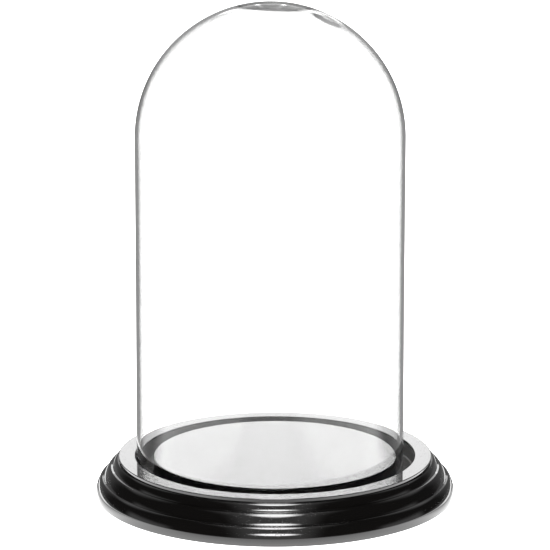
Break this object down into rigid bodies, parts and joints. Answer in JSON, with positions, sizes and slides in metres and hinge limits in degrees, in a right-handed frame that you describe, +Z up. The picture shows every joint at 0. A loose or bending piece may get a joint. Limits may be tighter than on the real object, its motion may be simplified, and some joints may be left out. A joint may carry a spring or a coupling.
{
  "type": "bell jar dome",
  "caption": "Round-topped clear glass display dome standing loose in the groove of a gloss black turned base with a moulded edge; it lifts off to cover a small exhibit.",
  "frame": {"origin": "on the base's turning axis, in the plane of the felt feet, where the object meets the shelf", "axes": "+Z up along the base's axis; +X to the viewer's right when the object is seen from -Y; the loose dome's axis stands 2.2 mm towards -X"},
  "size_m": [0.1544, 0.1544, 0.2145],
  "materials": {
    "clear_glass": "clear blown glass, fire-polished",
    "black_lacquer": "gloss black lacquer",
    "felt": "black felt"
  },
  "bodies": {
    "base": {"turned_base": "black_lacquer", "felt_foot_1": "felt", "felt_foot_2": "felt", "felt_foot_3": "felt", "felt_foot_4": "felt"},
    "dome": {"glass_dome": "clear_glass"}
  },
  "joints": [
    {"name": "dome_lift", "type": "slide", "parent": "base", "child": "dome", "axis": [0, 0, 1], "range_m": [0, 0.22]}
  ]
}
